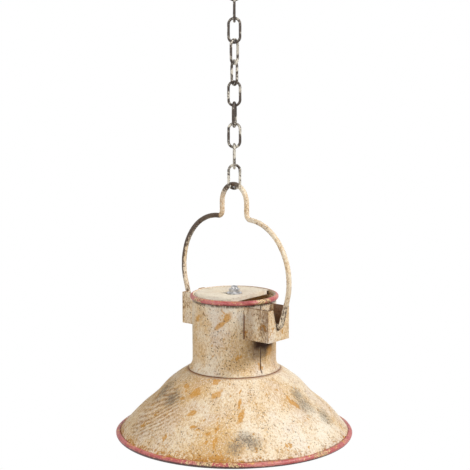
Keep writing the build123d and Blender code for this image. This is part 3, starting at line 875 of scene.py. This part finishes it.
def bracket_edge(look):
    """Rust on both boxes' folds and brims; wear on their sides, partly painted shade, and painted light on
    the outer faces; painted shade inside them and along the neck, kept light where light falls into the right
    box's top.
    """
    out = look.x * cos(BRACKET_LIE) + look.y * sin(BRACKET_LIE)
    side = (look.y * cos(BRACKET_LIE) - look.x * sin(BRACKET_LIE)) * look.maths("SIGN", out)
    along = look.maths("ABSOLUTE", out) + BRACKET_FACE * (1 - cos(BRACKET_TURN))
    across = look.maths("ABSOLUTE", side + BRACKET_FACE * sin(BRACKET_TURN))
    on_right = look.x.above(-20 * MM, 20 * MM)
    fold = (along - BRACKET_FACE + across - BRACKET_HALF).above(-2.4 * MM, -0.9 * MM)
    brims = look.greatest(look.z.above(BRACKET_HIGH - 1.8 * MM, BRACKET_HIGH - 0.3 * MM),
                          look.z.above(BRACKET_LOW + 1.8 * MM, BRACKET_LOW + 0.3 * MM))
    edges = look.greatest(fold, brims) * (look.wash * 0.08)
    # Outer faces kept paler and side faces darker: wear, with painted light on the faces towards the lamp and
    # painted shade on the sides away from it.
    face = along.above(BRACKET_FACE - 0.6 * MM, BRACKET_FACE - 0.2 * MM) * 0.12
    sides = across.above(BRACKET_HALF - 0.6 * MM, BRACKET_HALF - 0.2 * MM) * (on_right * 0.05 + 0.05)
    worn_and_shaded = (edges + sides - face + look.wash * 0.6 + look.stipple * 0.4).above(0.53, 0.68)
    brink = look.z.above(BRACKET_HIGH - 1.6 * MM, BRACKET_HIGH - 0.6 * MM) * on_right
    brink = brink * (look.wash + look.stipple * 0.5).above(0.50, 0.75)
    # Painted shade in the corner where the boxes meet the neck.
    root = (look.radius + look.fray * MM).above(NECK_OUTSIDE + 2.8 * MM, NECK_OUTSIDE + 1.4 * MM)
    # Darker on the sides close to the neck: painted shade with dirt.
    shaded = (look.radius + look.drift * 16 * MM).above(NECK_OUTSIDE + 24 * MM, NECK_OUTSIDE + 8 * MM)
    # Painted shade inside the boxes, deeper in the right one.
    inside = along.above(BRACKET_FACE - 0.5 * MM, BRACKET_FACE - 0.8 * MM)
    inside = inside * across.above(BRACKET_HALF - 0.5 * MM, BRACKET_HALF - 0.8 * MM)
    shade_and_dirt = look.greatest(root, shaded * on_right * 0.4, inside * (on_right * 0.6 + 0.25))
    # Painted light: the right box's inside is kept pale near its top, where light falls in.
    lit_from_above = look.radius.above(NECK_OUTSIDE + 7 * MM, NECK_OUTSIDE + 4 * MM) * on_right
    lit_from_above = lit_from_above * look.z.above(BRACKET_HIGH - 14 * MM, BRACKET_HIGH - 6 * MM)
    return look.greatest(worn_and_shaded * 0.6, brink * 0.8, shade_and_dirt * (1 - lit_from_above))


def plate_edge(look):
    """Rust rubbed through along the plate's rim and round the nut."""
    radius = look.radius + look.drift * 14 * MM
    rubbed = look.greatest(radius.above(53 * MM, 58 * MM), radius.above(15 * MM, 11 * MM))
    return rubbed * look.stipple.above(0.40, 0.60) * 0.55


class LANTERN_OT_brackets(bpy.types.Operator):
    """The two folded boxes and the top plate, painted like the neck"""

    bl_idname = "lantern.brackets"
    bl_label = "Brackets and plate"

    def execute(self, context):
        paint = ivory_paint("ivory_on_brackets", wear=1.1, aged=0.16, soft=0.45, edge=bracket_edge,
                            bare_and_shade=srgb(100, 62, 42))
        for node in ("bracket_left", "bracket_right"):
            paint_node(node, paint)
        paint_node("top_plate", ivory_paint("ivory_on_plate", wear=0.4, aged=-0.2, edge=plate_edge))
        return {"FINISHED"}


def bail_half():
    """The bail's centre line from a pivot to the top of the hump, by the CAD's own construction."""
    lean = radians(LEG_LEAN)
    low = (BAIL_ARCH[0] + ARCH_RADIUS * cos(lean), BAIL_ARCH[1] - ARCH_RADIUS * sin(lean))
    foot = low[0] - (low[1] - PIVOT_Z) * tan(lean)
    turn = 90 - LEG_LEAN
    start = foot - LEG_BEND * tan(radians(turn / 2))
    side = HUMP_RADIUS + SHOULDER_BEND
    span = ARCH_RADIUS + SHOULDER_BEND
    rise = sqrt(span**2 - (side - BAIL_ARCH[0]) ** 2)
    top = 90 - degrees(asin((side - BAIL_ARCH[0]) / span))
    shoulder = arc((side, BAIL_ARCH[1] + rise), SHOULDER_BEND, 180, top, 10)
    return [(PIVOT_END, PIVOT_Z), *arc((start, PIVOT_Z + LEG_BEND), LEG_BEND, -90, turn, 8),
            *arc(BAIL_ARCH, ARCH_RADIUS, -LEG_LEAN, LEG_LEAN + top, 40), *reversed(shoulder),
            *arc((0, HUMP_Z), HUMP_RADIUS, 0, 90, 20)]


def bail_bare_and_shaded(look):
    """Where the bail is dark: bare metal on the arch's left, painted shade along that arch's outer side and
    the right half's inner side, and darker at the hump's top left and the ends.
    """
    along, up = look.axis(look.place, "X"), look.z - BAIL_ARCH[1]
    aside = look.maths("ABSOLUTE", along) - BAIL_ARCH[0]
    outward = (aside * aside + up * up) ** 0.5 - ARCH_RADIUS
    left, right = along.above(-28 * MM, -36 * MM), along.above(28 * MM, 36 * MM)
    # Painted shade along the arch's outer side, on the left away from the lamp.
    shaded_outside = outward.above(-3.6 * MM, 0.6 * MM) * look.z.above(PIVOT_Z + 20 * MM, PIVOT_Z + 60 * MM)
    arch = left * (look.z.above(RIM_Z + 232 * MM, RIM_Z + 300 * MM) * 0.22 + shaded_outside * 0.30)
    # Painted shade along the inner side of the right half.
    inside = right * outward.above(0.5 * MM, -2.5 * MM)
    top = look.z.above(RIM_Z + 342 * MM, RIM_Z + 366 * MM) * look.x.above(16 * MM, 2 * MM)
    ends = look.z.above(PIVOT_Z + 48 * MM, PIVOT_Z + 20 * MM)
    # Bare metal and painted shade together.
    gone = look.greatest(arch, inside * 0.13, top * 0.28, ends * 0.16)
    return (gone + look.wash * 0.35 + look.stipple * 0.65).above(0.57, 0.74) * 0.9


class LANTERN_OT_bail(bpy.types.Operator):
    """Round-bar bail from pivot to pivot"""

    bl_idname = "lantern.bail"
    bl_label = "Bail"

    def execute(self, context):
        half = bail_half()
        points = [*[(x, 0.0, z) for x, z in half], *[(-x, 0.0, z) for x, z in reversed(half[:-1])]]
        paint = ivory_paint("ivory_on_bail", wear=0.9, aged=0.04, shine=0.3, edge=bail_bare_and_shaded,
                            bare_and_shade=srgb(62, 45, 38))
        mesh = grown("bail_bar", bar_tree(), {"Radius": sizes().rod, "Sides": 28, "Uneven": 0.5 * MM}, paint,
                     path_curve("bail_path", points))
        keep_mesh("bail_bar", mesh, "bail", "bail")
        return {"FINISHED"}


def link_turn(i):
    """A link's turn about the chain: the axis of the joint below it lies along its end."""
    below = f"link_{i + 2:02d}_swing" if i + 1 < len(LINKS) else "bail_swing"
    x, y, _ = JOINTS[below]["axis"]
    return atan2(y, x)


def link_run(low, high, turn):
    """The centre line of one link, and the swelling of its weld half-way up one side."""
    # The place of the weld among the points of a side, and how many points it reaches
    weld, spread = 6, 3.2
    middle, half = (low + high) / 2, (high - low) / 2 - sizes().wire - LINK_BEND
    side = [(LINK_BEND, half * i / weld) for i in range(-weld, weld)]
    # The last arc stops short of the first point, because the curve is closed
    loop = [*side, *arc((0, half), LINK_BEND, 0, 180, 16), *[(-x, -z) for x, z in side[1:]],
            *arc((0, -half), LINK_BEND, 180, 174, 15)]
    points = [(x * cos(turn), x * sin(turn), middle + z) for x, z in loop]
    return points, lambda i: 1.0 + 0.2 * max(0.0, 1 - abs(i - weld) / spread)


class LANTERN_OT_chain(bpy.types.Operator):
    """Welded oval links, each on its own body"""

    bl_idname = "lantern.chain"
    bl_label = "Chain"

    def execute(self, context):
        tree = bar_tree()
        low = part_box(LINKS[-1])[0].z
        iron = worn_iron("worn_iron_of_chain", 0.5, low)
        pale = worn_iron("painted_iron_of_chain", 0.56, low)
        values = {"Radius": sizes().wire, "Sides": 18, "Step": 1.2 * MM, "Uneven": 0.6 * MM}
        for i, node in enumerate(LINKS):
            corner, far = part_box(node)
            number = node[-2:]
            points, weld = link_run(corner.z, far.z, link_turn(i))
            mesh = grown("link_bar_" + number, tree, values, pale if i in PALE_LINKS else iron,
                         path_curve("link_path", points, True, weld))
            keep_mesh("link_bar_" + number, mesh, "link_" + number, node)
        return {"FINISHED"}


class LANTERN_OT_hook(bpy.types.Operator):
    """Ceiling hook's finish and the thread on its shank"""

    bl_idname = "lantern.hook"
    bl_label = "Ceiling hook"

    def execute(self, context):
        iron = worn_iron("worn_iron_of_hook", 0.2)
        paint_node("ceiling_hook", iron)
        mesh = grown("shank_thread", thread_tree(), SHANK_THREAD, iron)
        mesh.transform(Matrix.Translation((0, 0, SHANK_THREAD_Z)))
        keep_mesh("shank_thread", mesh, "hook", slot="ceiling_hook")
        return {"FINISHED"}


class LANTERN_OT_fittings(bpy.types.Operator):
    """Nuts, washers, threaded nipple, split pins and the wire in the neck's rim"""

    bl_idname = "lantern.fittings"
    bl_label = "Fittings"

    def execute(self, context):
        zinc = plain("dull_zinc", colours().zinc, 0.3, 0.8, 160.0, 0.3)
        for node in ("nipple", "top_nut", "top_washer", "lower_nut", "lower_washer", "bail_washer_left",
                     "bail_washer_right", "split_pin_left", "split_pin_right", "neck_rim_wire"):
            paint_node(node, zinc)
        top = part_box("nipple")[1].z
        mesh = grown("nipple_thread", thread_tree(), NIPPLE_THREAD, zinc)
        mesh.transform(Matrix.Translation((0, 0, top - NIPPLE_THREAD_DROP)))
        keep_mesh("nipple_thread", mesh, "lantern", slot="nipple")
        return {"FINISHED"}


class LANTERN_OT_lampholder(bpy.types.Operator):
    """Moulded lampholder with its ceramic insert and brass contacts"""

    bl_idname = "lantern.lampholder"
    bl_label = "Lampholder"

    def execute(self, context):
        black = plain("black_moulding", srgb(38, 36, 34), 0.45)
        brass = plain("plain_brass", srgb(196, 158, 92), 0.32, 1.0)
        for node in ("lampholder_cap", "lampholder_body"):
            paint_node(node, black)
        paint_node("lampholder_insert", plain("white_ceramic", srgb(226, 222, 210), 0.5))
        for node in ("screw_shell", "centre_contact"):
            paint_node(node, brass)
        return {"FINISHED"}


def seen_white(flow):
    """1 for rays that show the background: from the camera, by gloss and through glass."""
    camera, gloss, glass = (flow.node("ShaderNodeLightPath", out=kind)
                            for kind in ("Is Camera Ray", "Is Glossy Ray", "Is Transmission Ray"))
    return flow.maths("MINIMUM", camera + gloss + glass, 1.0)


def white_world():
    world = bpy.data.worlds.new("studio")
    world.use_nodes = True
    world.node_tree.nodes.clear()
    flow = Flow(world.node_tree)
    strength = seen_white(flow) * (1 - WORLD_SHARE) + WORLD_SHARE
    sky = flow.node("ShaderNodeBackground", None, {"Color": (1, 1, 1, 1), "Strength": strength})
    flow.node("ShaderNodeOutputWorld", None, {"Surface": sky})
    return world


def pale_floor():
    look = Finish("pale_floor")
    soft = look.node("ShaderNodeBsdfDiffuse", None, {"Color": (0.8, 0.8, 0.8, 1)})
    glow = look.node("ShaderNodeEmission", None, {"Color": (1, 1, 1, 1), "Strength": 1.0})
    both = look.node("ShaderNodeMixShader", None, {0: seen_white(look), 1: soft, 2: glow})
    look.node("ShaderNodeOutputMaterial", None, {"Surface": both})
    return look.material


class LANTERN_OT_stage(bpy.types.Operator):
    """Floor, soft lights, white world and the photograph's camera"""

    bl_idname = "lantern.stage"
    bl_label = "Stage"

    def execute(self, context):
        scene = context.scene
        scene.view_settings.view_transform = "Standard"
        scene.world = white_world()
        right = Vector((cos(VIEW_AZIMUTH), sin(VIEW_AZIMUTH), 0))
        near = Vector((sin(VIEW_AZIMUTH), -cos(VIEW_AZIMUTH), 0))
        camera = bpy.data.objects.new("camera", bpy.data.cameras.new("camera"))
        camera.data.sensor_width = SENSOR_WIDTH
        camera.data.lens = VIEW_LENS
        camera.location = near * VIEW_DISTANCE + right * VIEW_ASIDE + Vector((0, 0, RIM_Z + VIEW_ABOVE_RIM))
        camera.rotation_euler = (pi / 2 - VIEW_PITCH, 0, VIEW_AZIMUTH)
        scene.collection.objects.link(camera)
        scene.camera = camera
        floor = bpy.data.meshes.new("floor")
        corners = [(-1, -1), (1, -1), (1, 1), (-1, 1)]
        points = [(x * FLOOR_REACH, y * FLOOR_REACH, FLOOR_Z) for x, y in corners]
        floor.from_pydata(points, [], [(0, 1, 2, 3)])
        floor.materials.append(pale_floor())
        stand = bpy.data.objects.new("floor", floor)
        scene.collection.objects.link(stand)
        for lamp in LAMPS:
            data = bpy.data.lights.new(lamp.name, "AREA")
            data.size, data.energy = lamp.size, lamp.power
            light = bpy.data.objects.new(lamp.name, data)
            place = right * lamp.right + near * lamp.near + Vector((0, 0, lamp.up))
            light.location = Vector((0, 0, LAMP_AIM_Z)) + place
            light.rotation_euler = (-place).to_track_quat("-Z", "Y").to_euler()
            scene.collection.objects.link(light)
        return {"FINISHED"}


OPERATORS = (LANTERN_OT_shade, LANTERN_OT_neck, LANTERN_OT_brackets, LANTERN_OT_bail, LANTERN_OT_chain,
             LANTERN_OT_hook, LANTERN_OT_fittings, LANTERN_OT_lampholder, LANTERN_OT_stage)


class LANTERN_PT_build(bpy.types.Panel):
    """Lists the lantern's pieces and their settings"""

    bl_idname = "LANTERN_PT_build"
    bl_label = "Hanging Lantern"
    bl_space_type = "VIEW_3D"
    bl_region_type = "UI"
    bl_category = "Lantern"

    def draw(self, context):
        for group in (context.scene.lantern_sizes, context.scene.lantern_colours):
            for key in group.__annotations__:
                self.layout.prop(group, key)
        for step in OPERATORS:
            self.layout.operator(step.bl_idname)


CLASSES = (LanternColours, LanternSizes, *OPERATORS, LANTERN_PT_build)


def register():
    for kind in CLASSES:
        bpy.utils.register_class(kind)
    bpy.types.Scene.lantern_colours = PointerProperty(type=LanternColours)
    bpy.types.Scene.lantern_sizes = PointerProperty(type=LanternSizes)


def unregister():
    del bpy.types.Scene.lantern_sizes
    del bpy.types.Scene.lantern_colours
    for kind in reversed(CLASSES):
        bpy.utils.unregister_class(kind)


def main():
    register()
    for step in OPERATORS:
        group, name = step.bl_idname.split(".")
        getattr(getattr(bpy.ops, group), name)()


if __name__ == "__main__":
    main()
